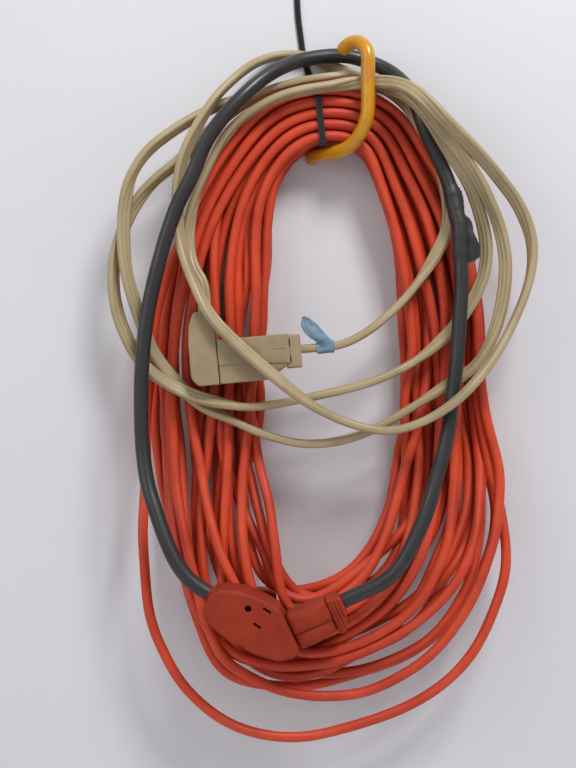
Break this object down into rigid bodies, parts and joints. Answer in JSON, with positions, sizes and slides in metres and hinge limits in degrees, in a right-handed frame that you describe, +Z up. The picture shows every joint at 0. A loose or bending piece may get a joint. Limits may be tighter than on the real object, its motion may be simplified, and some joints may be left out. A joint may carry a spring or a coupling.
{
  "type": "extension cords on a wall hook",
  "caption": "Coiled extension cords with moulded plugs, connectors and a branching outlet block, hung together on a vinyl-coated wall hook for storage.",
  "frame": {"origin": "centre of the hook's shank where it enters the wall face", "axes": "+Z up, +Y along the hook's shank into the wall, +X to the right as seen from the room; the cords hang on the -Y side"},
  "size_m": [0.3242, 0.129, 0.5766],
  "materials": {
    "hook_steel": "bare zinc-plated rod",
    "hook_vinyl": "glossy dipped vinyl",
    "tie_nylon": "satin black nylon",
    "orange_jacket": "satin vinyl cord jacket",
    "orange_moulding": "satin soft moulded vinyl",
    "beige_jacket": "satin vinyl cord jacket",
    "beige_moulding": "satin moulded vinyl",
    "dark_jacket": "satin vinyl cord jacket",
    "black_tape": "worn vinyl tape",
    "blue_tape": "matt vinyl tape",
    "contact_brass": "plain stamped brass"
  },
  "bodies": {
    "hung_cords": {"hook_rod": "hook_steel", "hook_coating": "hook_vinyl", "cable_tie": "tie_nylon", "hank_cord": "orange_jacket", "hank_lead_in": "orange_jacket", "hank_lead_out": "orange_jacket", "hank_connector": "orange_moulding", "hank_connector_contacts": "contact_brass", "hank_plug": "orange_moulding", "hank_plug_blades": "contact_brass", "flat_cord": "beige_jacket", "flat_connector_lead": "beige_jacket", "angle_plug": "beige_moulding", "angle_plug_blades": "contact_brass", "angle_plug_pin": "contact_brass", "tap_cord": "dark_jacket", "plug_cord": "dark_jacket", "splice_tape": "black_tape", "tap": "orange_moulding", "tap_relief": "orange_moulding", "tap_contacts": "contact_brass"},
    "round_plug": {"round_plug": "orange_moulding", "round_plug_grip": "orange_moulding", "round_plug_blades": "contact_brass", "round_plug_pin": "contact_brass"},
    "flat_connector": {"flat_connector": "beige_moulding", "flat_connector_collar": "beige_moulding", "flat_connector_contacts": "contact_brass", "cord_tape": "blue_tape"}
  },
  "joints": [
    {"name": "round_plug_pull", "type": "slide", "parent": "hung_cords", "child": "round_plug", "axis": [0.9063, 0, 0.4226], "range_m": [0, 0.021], "deforming": ["plug_cord"]},
    {"name": "flat_connector_pull", "type": "slide", "parent": "hung_cords", "child": "flat_connector", "axis": [0.9962, 0, 0.0872], "range_m": [0, 0.021], "deforming": ["flat_connector_lead"]}
  ]
}
